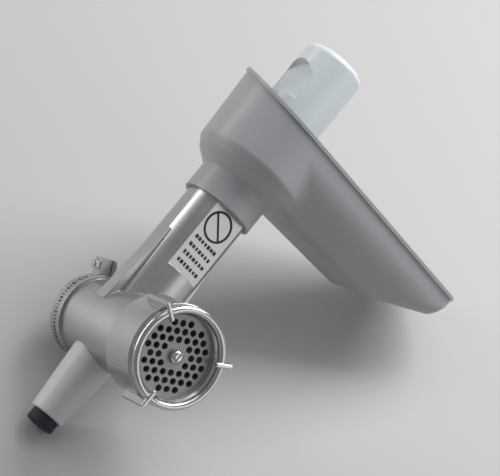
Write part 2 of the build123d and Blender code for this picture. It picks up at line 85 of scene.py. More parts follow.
# the short line scribed on the disc, outside its holes
SCRIBE_ANGLE = radians(37.0)
SCRIBE_START = 19.8 * MM
SCRIBE_HALF_WIDTH = 0.16 * MM

# the camera's own axes and place, in the frame of the part
CAMERA_RIGHT = Vector((0.5792, -0.5324, 0.6173))
CAMERA_UP = Vector((-0.6225, 0.2001, 0.7566))
CAMERA_BACK = Vector((-0.5263, -0.8225, -0.2155))
CAMERA_PLACE = Vector((-0.7328, -1.2344, -0.2188))

# lying down, the head rests about on its foot, its spigot and the tray's far corner
TABLE_DOWN = Vector((0.5903, 0.6342, -0.4993)).normalized()

# each light: its direction in the camera's own axes, distance, width and height, colour
LIGHTS = {
    "window": ((0.72, 0.68, 0.06), 1.7, (1.3, 0.95), (0.95, 0.98, 1.0)),
    "sky": ((0.35, 0.9, 0.45), 1.5, (1.2, 0.9), (0.97, 0.98, 1.0)),
    "card": ((0.88, -0.33, 0.35), 1.5, (0.95, 0.95), (1.0, 0.99, 0.97)),
    "strip": ((-0.85, 0.55, 0.15), 1.5, (0.2, 1.7), (1.0, 0.99, 0.97)),
}
WORLD_COLOUR = (0.66, 0.67, 0.69, 1.0)
WORLD_STRENGTH = 0.36


# ---- small helpers for node trees ----
def add(tree, kind, inputs=None, **settings):
    """A node with its settings and inputs; an input is a constant or another node's socket."""
    node = tree.nodes.new(kind)
    for key, value in settings.items():
        setattr(node, key, value)
    for key, value in (inputs or {}).items():
        if isinstance(value, bpy.types.NodeSocket):
            tree.links.new(value, node.inputs[key])
        else:
            node.inputs[key].default_value = value
    return node


def calc(tree, operation, first, second=0.0):
    """One sum, product or comparison of two values."""
    return add(tree, "ShaderNodeMath", {0: first, 1: second}, operation=operation).outputs[0]


def place_of(tree, scale=(1.0, 1.0, 1.0)):
    """Object coordinates, stretched where a pattern runs along one axis."""
    coordinates = add(tree, "ShaderNodeTexCoord").outputs["Object"]
    return add(tree, "ShaderNodeMapping", {"Vector": coordinates, "Scale": scale}).outputs[0]


def turned_place(tree):
    """Coordinates that only change along and away from the barrel's axis, for marks left by turning."""
    split = add(tree, "ShaderNodeSeparateXYZ", {0: place_of(tree)})
    flat = add(tree, "ShaderNodeCombineXYZ", {"X": split.outputs["X"], "Y": split.outputs["Z"]}).outputs[0]
    away = add(tree, "ShaderNodeVectorMath", {0: flat}, operation="LENGTH").outputs["Value"]
    return add(tree, "ShaderNodeCombineXYZ", {"X": away, "Y": split.outputs["Y"]}).outputs[0]


def noise(tree, place, scale, detail=2.0, roughness=0.5):
    inputs = {"Vector": place, "Scale": scale, "Detail": detail, "Roughness": roughness}
    return add(tree, "ShaderNodeTexNoise", inputs).outputs["Fac"]


def spread(tree, value, low, high, start=0.0, stop=1.0):
    """A value mapped from start..stop to low..high."""
    inputs = {"Value": value, "From Min": start, "From Max": stop, "To Min": low, "To Max": high}
    return add(tree, "ShaderNodeMapRange", inputs).outputs[0]


def tint(tree, factor, first, second):
    """A colour mixed from two, each a constant or a socket."""
    mix = add(tree, "ShaderNodeMix", {"Factor": factor}, data_type="RGBA")
    for socket, value in ((mix.inputs[6], first), (mix.inputs[7], second)):
        if isinstance(value, bpy.types.NodeSocket):
            tree.links.new(value, socket)
        else:
            socket.default_value = (*value[:3], 1.0)
    return mix.outputs[2]


def edge_wear_and_highlight(tree, radius):
    """1 along outer edges and corners, 0 on open faces, and the rounded normal behind it; it marks worn edges
    on metal and the painted edge highlight on plastic.
    """
    rounded = add(tree, "ShaderNodeBevel", {"Radius": radius}, samples=4).outputs[0]
    flat = add(tree, "ShaderNodeNewGeometry").outputs["Normal"]
    level = add(tree, "ShaderNodeVectorMath", {0: rounded, 1: flat}, operation="DOT_PRODUCT").outputs["Value"]
    return spread(tree, level, 1.0, 0.0, 0.80, 0.995), rounded


def relief(tree, height, distance, normal=None):
    """A bump of this depth, on top of the normal if one is given."""
    inputs = {"Height": height, "Distance": distance}
    if normal is not None:
        inputs["Normal"] = normal
    return add(tree, "ShaderNodeBump", inputs).outputs[0]


def new_finish(name, metallic, constants):
    """An empty material and its shader, with the constants set on the shader's own sockets."""
    material = bpy.data.materials.new(name)
    material.use_nodes = True
    tree = material.node_tree
    shader = tree.nodes["Principled BSDF"]
    shader.inputs["Metallic"].default_value = metallic
    for key, value in constants.items():
        shader.inputs[key].default_value = value
    return material, tree, shader


def dress(tree, shader, colour, roughness, normal):
    tree.links.new(colour, shader.inputs["Base Color"])
    tree.links.new(roughness, shader.inputs["Roughness"])
    tree.links.new(normal, shader.inputs["Normal"])


def shade(colour, factor):
    return tuple(min(1.0, part * factor) for part in colour[:3])


# ---- finishes ----
def cast_metal(name, colour, roughness, along=(1.0, 1.0, 0.03)):
    """Satin die casting: fine grain, cloudy tone, long polishing streaks and bright worn edges."""
    material, tree, shader = new_finish(name, 1.0, {})
    place = place_of(tree)
    clouds = noise(tree, place, 38.0, 5.0, 0.6)
    grain = noise(tree, place, 2400.0, 2.0)
    streaks = noise(tree, place_of(tree, along), 900.0, 3.0, 0.6)
    wear_and_highlight, rounded = edge_wear_and_highlight(tree, 0.5 * MM)
    body = tint(tree, clouds, shade(colour, 0.86), shade(colour, 1.08))
    streaked = tint(tree, spread(tree, streaks, 0.0, 0.35, 0.35, 0.75), body, shade(colour, 1.2))
    worn_and_highlit = tint(tree, wear_and_highlight, streaked, shade(colour, 1.3))
    polish = spread(tree, streaks, roughness - 0.04, roughness + 0.05)
    dull = calc(tree, "ADD", spread(tree, clouds, -0.05, 0.07), polish)
    smooth = calc(tree, "SUBTRACT", dull, calc(tree, "MULTIPLY", wear_and_highlight, 0.08))
    fine = calc(tree, "ADD", calc(tree, "MULTIPLY", grain, 0.7), calc(tree, "MULTIPLY", streaks, 0.5))
    dress(tree, shader, worn_and_highlit, smooth, relief(tree, fine, 0.022 * MM, rounded))
    return material


def turned_metal(name, colour, roughness, line_depth=0.006):
    """Metal turned on a lathe: fine rings round the barrel's axis, smudges and bright edges."""
    material, tree, shader = new_finish(name, 1.0, {})
    lines = noise(tree, turned_place(tree), 3800.0, 3.0, 0.7)
    broad = noise(tree, turned_place(tree), 420.0, 2.0)
    smudge = noise(tree, place_of(tree), 70.0, 4.0, 0.6)
    wear_and_highlight, rounded = edge_wear_and_highlight(tree, 0.4 * MM)
    body = tint(tree, smudge, shade(colour, 0.88), shade(colour, 1.06))
    ringed = tint(tree, spread(tree, lines, 0.0, 0.5, 0.4, 0.7), body, shade(colour, 0.8))
    worn_and_highlit = tint(tree, wear_and_highlight, ringed, shade(colour, 1.25))
    rings = spread(tree, broad, roughness - 0.03, roughness + 0.04)
    dull = calc(tree, "ADD", spread(tree, smudge, -0.04, 0.06), rings)
    height = calc(tree, "ADD", calc(tree, "MULTIPLY", lines, 0.6), calc(tree, "MULTIPLY", broad, 0.8))
    dress(tree, shader, worn_and_highlit, dull, relief(tree, height, line_depth * MM, rounded))
    return material


def ground_disc_steel(name, colour):
    """Matte ground steel with faint arcs from the knife, stains between the holes and a scribed line."""
    material, tree, shader = new_finish(name, 0.75, {})
    place = place_of(tree)
    arcs = noise(tree, turned_place(tree), 2600.0, 4.0, 0.75)
    stain_and_shade = noise(tree, place, 120.0, 5.0, 0.65)
    pits = noise(tree, place, 3000.0, 1.0)
    split = add(tree, "ShaderNodeSeparateXYZ", {0: place})
    east, north = split.outputs["X"], split.outputs["Z"]
    rise, run = sin(SCRIBE_ANGLE), cos(SCRIBE_ANGLE)
    across = calc(tree, "SUBTRACT", calc(tree, "MULTIPLY", east, rise), calc(tree, "MULTIPLY", north, run))
    along = calc(tree, "ADD", calc(tree, "MULTIPLY", east, run), calc(tree, "MULTIPLY", north, rise))
    on_line = calc(tree, "LESS_THAN", calc(tree, "ABSOLUTE", across), SCRIBE_HALF_WIDTH)
    scribed = calc(tree, "MULTIPLY", on_line, calc(tree, "GREATER_THAN", along, SCRIBE_START))
    wear_and_highlight, rounded = edge_wear_and_highlight(tree, 0.25 * MM)
    body = tint(tree, stain_and_shade, shade(colour, 0.8), shade(colour, 1.15))
    lined = tint(tree, spread(tree, arcs, 0.0, 0.4, 0.45, 0.7), body, shade(colour, 1.3))
    marked = tint(tree, scribed, lined, shade(colour, 1.9))
    worn_and_highlit = tint(tree, wear_and_highlight, marked, shade(colour, 1.7))
    dull = calc(tree, "ADD", spread(tree, stain_and_shade, 0.42, 0.58), spread(tree, pits, -0.05, 0.05))
    height = calc(tree, "ADD", arcs, calc(tree, "MULTIPLY", pits, 0.5))
    dress(tree, shader, worn_and_highlit, dull, relief(tree, height, 0.008 * MM, rounded))
    return material


def moulded_plastic(name, colour, roughness, grain_depth=0.006, constants=None):
    """Moulded plastic: a fine eroded texture, a slightly uneven tone, soft smears and lighter edges that are
    a painted highlight.
    """
    material, tree, shader = new_finish(name, 0.0, constants or {})
    place = place_of(tree)
    skin = noise(tree, place, 3200.0, 3.0, 0.6)
    tone = noise(tree, place, 26.0, 4.0, 0.55)
    smear = noise(tree, place_of(tree, (1.0, 1.0, 0.35)), 55.0, 5.0, 0.6)
    wear_and_highlight, rounded = edge_wear_and_highlight(tree, 0.45 * MM)
    body = tint(tree, tone, shade(colour, 0.94), shade(colour, 1.03))
    speckled = tint(tree, spread(tree, skin, 0.0, 0.25, 0.55, 0.8), body, shade(colour, 0.85))
    # lighter edges: a painted highlight where rims and edges catch the light
    worn_and_highlit = tint(tree, calc(tree, "MULTIPLY", wear_and_highlight, 0.8), speckled, shade(colour, 1.3))
    smeared = spread(tree, smear, roughness - 0.05, roughness + 0.07)
    dull = calc(tree, "ADD", smeared, spread(tree, skin, -0.03, 0.03))
    dress(tree, shader, worn_and_highlit, dull, relief(tree, skin, grain_depth * MM, rounded))
    return material


def rubber(name, colour):
    """Dark rubber with a bloom on it and a coarse matte skin."""
    material, tree, shader = new_finish(name, 0.0, {"Specular IOR Level": 0.35})
    place = place_of(tree)
    bloom = noise(tree, place, 160.0, 5.0, 0.65)
    skin = noise(tree, place, 1800.0, 3.0, 0.6)
    wear_and_highlight, rounded = edge_wear_and_highlight(tree, 0.5 * MM)
    body = tint(tree, bloom, shade(colour, 0.7), shade(colour, 1.7))
    worn_and_highlit = tint(tree, wear_and_highlight, body, shade(colour, 2.4))
    dull = spread(tree, bloom, 0.55, 0.8)
    dress(tree, shader, worn_and_highlit, dull, relief(tree, skin, 0.03 * MM, rounded))
    return material


def painted_shade_mark(name, colour):
    """Dark colour for the raised cast marks: painted shade standing in for the shadow in their relief, in
    patches.
    """
    material, tree, shader = new_finish(name, 0.4, {})
    place = place_of(tree)
    patches = noise(tree, place, 700.0, 4.0, 0.6)
    grain = noise(tree, place, 2600.0, 2.0)
    body = tint(tree, patches, shade(colour, 0.6), shade(colour, 1.8))
    dress(tree, shader, body, spread(tree, grain, 0.45, 0.65), relief(tree, grain, 0.02 * MM))
    return material


# ---- meshes ----
def show(name, mesh, material, body):
    """A finished piece at the origin that rides on its body."""
    mesh.materials.clear()
    mesh.materials.append(material)
    piece = bpy.data.objects.new(name, mesh)
    bpy.context.scene.collection.objects.link(piece)
    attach(piece, body)
    return piece


def settled_mesh(carrier):
    """The carrier's mesh with its modifiers worked in; the carrier goes."""
    graph = bpy.context.evaluated_depsgraph_get()
    mesh = bpy.data.meshes.new_from_object(carrier.evaluated_get(graph))
    bpy.data.objects.remove(carrier)
    return mesh


def merged_copy(node, flatness):
    """The node's shape as one joined surface, its flat faces whole."""
    shape = bmesh.new()
    shape.from_mesh(frame["nodes"][node].data)
    for face in shape.faces:
        face.smooth = True
    bmesh.ops.remove_doubles(shape, verts=shape.verts, dist=0.002 * MM)
    bmesh.ops.dissolve_degenerate(shape, edges=shape.edges, dist=0.001 * MM)
    if flatness:
        bmesh.ops.dissolve_limit(shape, angle_limit=radians(flatness), verts=shape.verts, edges=shape.edges)
    mesh = bpy.data.meshes.new(node + "_copy")
    shape.to_mesh(mesh)
    shape.free()
    if "custom_normal" in mesh.attributes:
        mesh.attributes.remove(mesh.attributes["custom_normal"])
    return mesh


def skin(node, name, material, slot, edge, segments=2, flatness=0.3):
    """A smooth skin with rounded edges that stands for a CAD node."""
    carrier = bpy.data.objects.new(node + "_carrier", merged_copy(node, flatness))
    bpy.context.scene.collection.objects.link(carrier)
    if edge:
        bevel = carrier.modifiers.new("edges", "BEVEL")
        bevel.width = edge * MM
        bevel.segments = segments
        bevel.limit_method = "ANGLE"
        bevel.angle_limit = SKIN_SHARP_ANGLE
    else:
        carrier.data.set_sharp_from_angle(angle=SKIN_SHARP_ANGLE)
    weigh = carrier.modifiers.new("normals", "WEIGHTED_NORMAL")
    weigh.keep_sharp = True
    weigh.weight = 60
    piece = show(name, settled_mesh(carrier), material, BODY_OF[node])
    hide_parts(node)
    return piece


# ---- geometry node trees ----
def new_tree(name, inputs):
    """A tree with named inputs; returns it, its input node and its output node."""
    tree = bpy.data.node_groups.new(name, "GeometryNodeTree")
    tree.interface.new_socket("Geometry", in_out="INPUT", socket_type="NodeSocketGeometry")
    for label, kind, default in inputs:
        socket = tree.interface.new_socket(label, in_out="INPUT", socket_type="NodeSocket" + kind)
        if default is not None:
            socket.default_value = default
    tree.interface.new_socket("Material", in_out="INPUT", socket_type="NodeSocketMaterial")
    tree.interface.new_socket("Geometry", in_out="OUTPUT", socket_type="NodeSocketGeometry")
    return tree, add(tree, "NodeGroupInput"), add(tree, "NodeGroupOutput")


def close_tree(tree, given, result, geometry):
    """Ends a tree with real geometry that has its material."""
    real = add(tree, "GeometryNodeRealizeInstances", {0: geometry}).outputs[0]
    painted = add(tree, "GeometryNodeSetMaterial", {"Geometry": real, "Material": given.outputs["Material"]})
    tree.links.new(painted.outputs[0], result.inputs[0])
    return tree


def random_stretch(tree, low, high, seed):
    """A random size between two for each copy."""
    limits = {"Min": low, "Max": high, "Seed": seed}
    return add(tree, "FunctionNodeRandomValue", limits, data_type="FLOAT_VECTOR").outputs["Value"]


def dash_grid_tree():
    """Rows of small raised dashes of uneven width, as a plain stand-in for cast lettering."""
    inputs = (
        ("Across", "Int", 6),
        ("Rows", "Int", 4),
        ("Width", "Float", 0.02),
        ("Height", "Float", 0.02),
        ("Dash Size", "Vector", (0.002, 0.002, 0.0002)),
        ("Seed", "Int", 1),
    )
    tree, given, result = new_tree("dash_rows", inputs)
    sizes = {
        "Size X": given.outputs["Width"],
        "Size Y": given.outputs["Height"],
        "Vertices X": given.outputs["Across"],
        "Vertices Y": given.outputs["Rows"],
    }
    grid = add(tree, "GeometryNodeMeshGrid", sizes).outputs[0]
    dash = add(tree, "GeometryNodeMeshCube", {"Size": given.outputs["Dash Size"]}).outputs[0]
    stretch = random_stretch(tree, (0.55, 0.85, 1.0), (1.15, 1.1, 1.0), given.outputs["Seed"])
    rows = add(
        tree,
        "GeometryNodeInstanceOnPoints",
        {"Points": grid, "Instance": dash, "Scale": stretch},
    ).outputs[0]
    return close_tree(tree, given, result, rows)


def band_marks_tree():
    """Small marks round a ring, turned to face outwards, with uneven lengths."""
    inputs = (
        ("Count", "Int", 60),
        ("Radius", "Float", 0.025),
        ("Mark Size", "Vector", (0.0002, 0.001, 0.002)),
        ("Seed", "Int", 1),
    )
    tree, given, result = new_tree("band_marks", inputs)
    circle = add(
        tree,
        "GeometryNodeMeshCircle",
        {"Vertices": given.outputs["Count"], "Radius": given.outputs["Radius"]},
    ).outputs[0]
    outwards = add(
        tree,
        "FunctionNodeAlignRotationToVector",
        {"Vector": add(tree, "GeometryNodeInputPosition").outputs[0]},
        axis="X",
        pivot_axis="Z",
    ).outputs[0]
    mark = add(tree, "GeometryNodeMeshCube", {"Size": given.outputs["Mark Size"]}).outputs[0]
    stretch = random_stretch(tree, (1.0, 0.4, 0.55), (1.0, 1.25, 1.1), given.outputs["Seed"])
    marks = add(
        tree,
        "GeometryNodeInstanceOnPoints",
        {"Points": circle, "Instance": mark, "Rotation": outwards, "Scale": stretch},
    ).outputs[0]
    return close_tree(tree, given, result, marks)


def hole_rims_tree():
    """A fine raised rim round each point of the incoming mesh."""
    inputs = (("Hole Radius", "Float", 0.002), ("Rim Radius", "Float", 0.0001))
    tree, given, result = new_tree("hole_rims", inputs)
    path = add(
        tree,
        "GeometryNodeCurvePrimitiveCircle",
        {"Resolution": 36, "Radius": given.outputs["Hole Radius"]},
    ).outputs[0]
    section = add(
        tree,
        "GeometryNodeCurvePrimitiveCircle",
        {"Resolution": 8, "Radius": given.outputs["Rim Radius"]},
    ).outputs[0]
    rim = add(tree, "GeometryNodeCurveToMesh", {"Curve": path, "Profile Curve": section}).outputs[0]
    rims = add(
        tree,
        "GeometryNodeInstanceOnPoints",
        {"Points": given.outputs["Geometry"], "Instance": rim},
    ).outputs[0]
    return close_tree(tree, given, result, rims)


def grow(name, tree, values, material, points=()):
    """The mesh that a tree makes from its input values and, where it reads them, some points."""
    seed = bpy.data.meshes.new(name + "_seed")
    seed.from_pydata([tuple(point) for point in points], [], [])
    carrier = bpy.data.objects.new(name + "_carrier", seed)
    bpy.context.scene.collection.objects.link(carrier)
    modifier = carrier.modifiers.new(name, "NODES")
    modifier.node_group = tree
    for socket in tree.interface.items_tree:
        if socket.item_type == "SOCKET" and socket.in_out == "INPUT":
            if socket.name == "Material":
                modifier[socket.identifier] = material
            elif socket.name in values:
                modifier[socket.identifier] = values[socket.name]
    return settled_mesh(carrier)


def outward_faces(mesh):
    """Turns every face of closed shells outwards."""
    shape = bmesh.new()
    shape.from_mesh(mesh)
    bmesh.ops.remove_doubles(shape, verts=shape.verts, dist=0.001 * MM)
    bmesh.ops.recalc_face_normals(shape, faces=shape.faces)
    for face in shape.faces:
        face.smooth = True
    shape.to_mesh(mesh)
    shape.free()
    mesh.set_sharp_from_angle(angle=MARK_SHARP_ANGLE)
    return mesh


def facing_outlet(origin):
    """A placing that stands a flat drawing up, its face towards the outlet."""
    return Matrix.Translation(origin) @ Matrix.Rotation(radians(90), 4, "X")


# ---- settings ----
class GrinderFinishes(bpy.types.PropertyGroup):
    """Colours that a user would change."""

    aluminium: FloatVectorProperty(
        name="Aluminium",
        description="Colour of the cast barrel and the ring nut",
        subtype="COLOR",
        default=(0.52, 0.515, 0.51),
    )
    disc: FloatVectorProperty(
        name="Disc",
        description="Colour of the perforated steel disc",
        subtype="COLOR",
        default=(0.34, 0.33, 0.32),
    )
    # the tray's colour is white plastic darkened to grey: painted shade for its shaded side
    tray: FloatVectorProperty(
        name="Tray",
        description="Colour of the tray's plastic",
        subtype="COLOR",
        default=(0.40, 0.405, 0.42),
    )
    pusher: FloatVectorProperty(
        name="Pusher",
        description="Colour of the pusher's plastic",
        subtype="COLOR",
        default=(0.72, 0.77, 0.79),
    )
    leg: FloatVectorProperty(
        name="Leg",
        description="Colour of the leg's plastic",
        subtype="COLOR",
        default=(0.60, 0.605, 0.61),
    )
    foot: FloatVectorProperty(
        name="Foot",
        description="Colour of the rubber foot",
        subtype="COLOR",
        default=(0.018, 0.022, 0.032),
    )
    # the marks' colour is painted shade, standing in for the shadow in the relief of the raised cast marks
    marks: FloatVectorProperty(
        name="Marks",
        description="Colour of the dark stain in the cast marks",
        subtype="COLOR",
        default=(0.03, 0.03, 0.031),
    )


class GrinderMarks(bpy.types.PropertyGroup):
    """Sizes of the plain marks."""

    emblem_radius: FloatProperty(
        name="Emblem radius",
        description="Outer radius of the ring on the feed tube's flat",
        default=9.6 * MM,
        unit="LENGTH",
    )
    emblem_height: FloatProperty(
        name="Emblem height",
        description="Height of the ring's centre above the barrel's axis",
        default=80.0 * MM,
        unit="LENGTH",
    )
    dash_rows: IntProperty(
        name="Dash rows",
        description="Rows of dashes below the ring",
        default=4,
        min=1,
    )
    dashes: IntProperty(
        name="Dashes",
        description="Dashes in each row",
        default=7,
        min=2,
    )
    band_marks: IntProperty(
        name="Band marks",
        description="Marks round the lock ring",
        default=72,
        min=8,
    )


class GrinderStage(bpy.types.PropertyGroup):
    """The table, the lights and the camera."""

    lens: FloatProperty(
        name="Lens",
        description="Focal length on a sensor 36 mm wide",
        default=178.56,
        unit="CAMERA",
    )
    table: FloatVectorProperty(
        name="Table",
        description="Colour of the table",
        subtype="COLOR",
        default=(0.50, 0.49, 0.475),
    )
    table_size: FloatProperty(
        name="Table size",
        description="Width of the table",
        default=8.0,
        unit="LENGTH",
    )
    window_power: FloatProperty(
        name="Window power",
        description="Power of the soft light beyond the tray's end",
        default=30.0,
        unit="POWER",
    )
    sky_power: FloatProperty(
        name="Sky power",
        description="Power of the wide weak light above",
        default=4.0,
        unit="POWER",
    )
    card_power: FloatProperty(
        name="Card power",
        description="Power of the low card that the tube's flat and the disc mirror",
        default=2.6,
        unit="POWER",
    )
    strip_power: FloatProperty(
        name="Strip power",
        description="Power of the narrow light that draws bright lines on metal",
        default=10.0,
        unit="POWER",
    )


def settings(kind):
    return getattr(bpy.context.scene, "grinder_" + kind)


# ---- operators ----
class MakeCasting(bpy.types.Operator):
    """Skin of the cast barrel with its feed tube"""

    bl_idname = "grinder.make_casting"
    bl_label = "Barrel casting"

    def execute(self, context):
        colour = settings("finishes").aluminium
        metal = cast_metal("cast_aluminium", colour, 0.34)
        skin("barrel", "barrel_casting", metal, "cast_aluminium", edge=0.3)
        return {"FINISHED"}


class MakeNut(bpy.types.Operator):
    """Skin of the ring nut and its fins"""

    bl_idname = "grinder.make_nut"
    bl_label = "Ring nut"

    def execute(self, context):
        colour = shade(settings("finishes").aluminium, 1.15)
        metal = turned_metal("polished_aluminium", colour, 0.2)
        skin("ring_nut", "ring_nut_skin", metal, "polished_aluminium", edge=0.5, segments=3)
        washer = moulded_plastic("slip_ring_plastic", (0.8, 0.8, 0.78), 0.4)
        skin("slip_ring", "slip_ring_skin", washer, "bush_plastic", edge=0.0)
        return {"FINISHED"}


class MakeDisc(bpy.types.Operator):
    """Skin of the perforated disc, the rims of its holes and its key"""

    bl_idname = "grinder.make_disc"
    bl_label = "Perforated disc"

    hole_pitch = 5.4 * MM
    hole_radius = 1.95 * MM
    rim_radius = 0.11 * MM
    grid_start = 1.5 * hole_pitch
    grid_stop = 3.7 * hole_pitch

    def hole_places(self):
        """Centres of the holes: a triangular grid between two circles."""
        places = []
        for row in range(-4, 5):
            for step in range(-6, 7):
                x = row * self.hole_pitch * sqrt(3) / 2
                z = (step + (row % 2) / 2) * self.hole_pitch
                if self.grid_start < hypot(x, z) < self.grid_stop:
                    places.append((x, z, 0.0))
        return places

    def execute(self, context):
        steel = ground_disc_steel("ground_disc_steel", settings("finishes").disc)
        skin("perforated_disc", "perforated_disc_skin", steel, "disc_steel", edge=0.0)
        sizes = {"Hole Radius": self.hole_radius + 0.5 * self.rim_radius, "Rim Radius": self.rim_radius}
        mesh = grow("hole_rims", hole_rims_tree(), sizes, steel, self.hole_places())
        mesh.transform(facing_outlet((0.0, DISC_FRONT, 0.0)))
        show("disc_hole_rims", outward_faces(mesh), steel, "head")
        bright = turned_metal("key_steel", (0.5, 0.5, 0.51), 0.3)
        skin("disc_key", "disc_key_skin", bright, "fastener_steel", edge=0.15)
        return {"FINISHED"}


class MakeWormSet(bpy.types.Operator):
    """Skins of the worm, its stud, the knife, the washer and the drive coupling"""

    bl_idname = "grinder.make_worm_set"
    bl_label = "Worm set"

    def execute(self, context):
        colour = settings("finishes").aluminium
        cast = cast_metal("worm_aluminium", colour, 0.4, (1.0, 0.05, 1.0))
        skin("worm", "worm_skin", cast, "worm_aluminium", edge=0.0, flatness=0.0)
        polished = turned_metal("polished_steel", (0.72, 0.71, 0.70), 0.12, 0.003)
        skin("worm_stud", "worm_stud_skin", polished, "polished_steel", edge=0.2)
        ground = turned_metal("blade_steel", (0.5, 0.5, 0.51), 0.28)
        skin("knife", "knife_skin", ground, "blade_steel", edge=0.2)
        pale = moulded_plastic("washer_plastic", (0.78, 0.77, 0.72), 0.4)
        skin("thrust_washer", "thrust_washer_skin", pale, "bush_plastic", edge=0.2)
        skin("rear_bush", "rear_bush_skin", pale, "bush_plastic", edge=0.2)
        black = moulded_plastic("drive_plastic", (0.035, 0.035, 0.04), 0.42, 0.012)
        skin("drive_coupling", "drive_coupling_skin", black, "drive_plastic", edge=0.35)
        soft = rubber("seal_rubber", (0.02, 0.02, 0.022))
        skin("shaft_seal", "shaft_seal_skin", soft, "seal_rubber", edge=0.2)
        zinc = turned_metal("screw_zinc", (0.58, 0.58, 0.57), 0.26)
        skin("coupling_screw", "coupling_screw_skin", zinc, "fastener_steel", edge=0.15)
        return {"FINISHED"}


class MakeRear(bpy.types.Operator):
    """Skins of the rear sleeve, the split lock ring and its screws, and the marks round the ring"""

    bl_idname = "grinder.make_rear"
    bl_label = "Rear coupling"

    mark_size = (0.16 * MM, 1.3 * MM, 2.6 * MM)
    ears_at = radians(118.0)
    ears_reach = radians(24.0)

    def execute(self, context):
        colour = settings("finishes").aluminium
        turned = turned_metal("machined_aluminium", colour, 0.3, 0.01)
        skin("coupling_sleeve", "coupling_sleeve_skin", turned, "machined_aluminium", edge=0.3)
        skin("lock_ring", "lock_ring_skin", turned, "machined_aluminium", edge=0.3)
        zinc = turned_metal("fastener_zinc", (0.6, 0.6, 0.59), 0.24)
        skin("sleeve_screws", "sleeve_screw_skins", zinc, "fastener_steel", edge=0.15)
        skin("lock_screw", "lock_screw_skin", zinc, "fastener_steel", edge=0.2)
        skin("lock_nut", "lock_nut_skin", zinc, "fastener_steel", edge=0.2)
        # the marks round the lock ring get a dark painted shade, standing in for the shadow in their relief
        stain_and_shade = painted_shade_mark("band_stain", settings("finishes").marks)
        sizes = {
            "Count": settings("marks").band_marks,
            "Radius": LOCK_RING_RADIUS,
            "Mark Size": self.mark_size,
            "Seed": 4,
        }
        mesh = grow("band_marks", band_marks_tree(), sizes, stain_and_shade)
        self.clear_ears(mesh)
        mesh.transform(facing_outlet((0.0, LOCK_RING_MIDDLE, 0.0)))
        show("lock_ring_marks", outward_faces(mesh), stain_and_shade, "lock_ring")
        return {"FINISHED"}

    def clear_ears(self, mesh):
        """Takes away the marks that would stand in the ears or the split."""
        ears = Vector((cos(self.ears_at), sin(self.ears_at)))
        shape = bmesh.new()
        shape.from_mesh(mesh)
        hidden = [v for v in shape.verts if v.co.xy.normalized().dot(ears) > cos(self.ears_reach)]
        bmesh.ops.delete(shape, geom=hidden, context="VERTS")
        shape.to_mesh(mesh)
        shape.free()


class MakeLeg(bpy.types.Operator):
    """Skins of the leg, its stud and its foot"""

    bl_idname = "grinder.make_leg"
    bl_label = "Support leg"

    def execute(self, context):
        white = moulded_plastic("leg_plastic", settings("finishes").leg, 0.42, 0.01)
        skin("support_leg", "support_leg_skin", white, "leg_plastic", edge=0.6, segments=3)
        soft = rubber("foot_rubber", settings("finishes").foot)
        skin("leg_foot", "leg_foot_skin", soft, "foot_rubber", edge=0.4)
        zinc = turned_metal("stud_zinc", (0.6, 0.6, 0.59), 0.3)
        skin("leg_stud", "leg_stud_skin", zinc, "fastener_steel", edge=0.15)
        return {"FINISHED"}


class MakeTray(bpy.types.Operator):
    """Skin of the hopper tray"""

    bl_idname = "grinder.make_tray"
    bl_label = "Hopper tray"

    def execute(self, context):
        # the tray's grey colour is painted shade on white plastic
        white = moulded_plastic("tray_plastic", settings("finishes").tray, 0.4, 0.005)
        skin("hopper_tray", "hopper_tray_skin", white, "tray_plastic", edge=0.45, segments=3)
        return {"FINISHED"}


class MakePusher(bpy.types.Operator):
    """Skins of the pusher and its plug"""

    bl_idname = "grinder.make_pusher"
    bl_label = "Pusher"

    def execute(self, context):
        gloss = {"Coat Weight": 0.15, "Coat Roughness": 0.2}
        white = moulded_plastic("pusher_plastic", settings("finishes").pusher, 0.32, 0.004, gloss)
        skin("pusher_body", "pusher_skin", white, "pusher_plastic", edge=0.9, segments=4)
        skin("pusher_plug", "pusher_plug_skin", white, "pusher_plastic", edge=0.4)
        return {"FINISHED"}


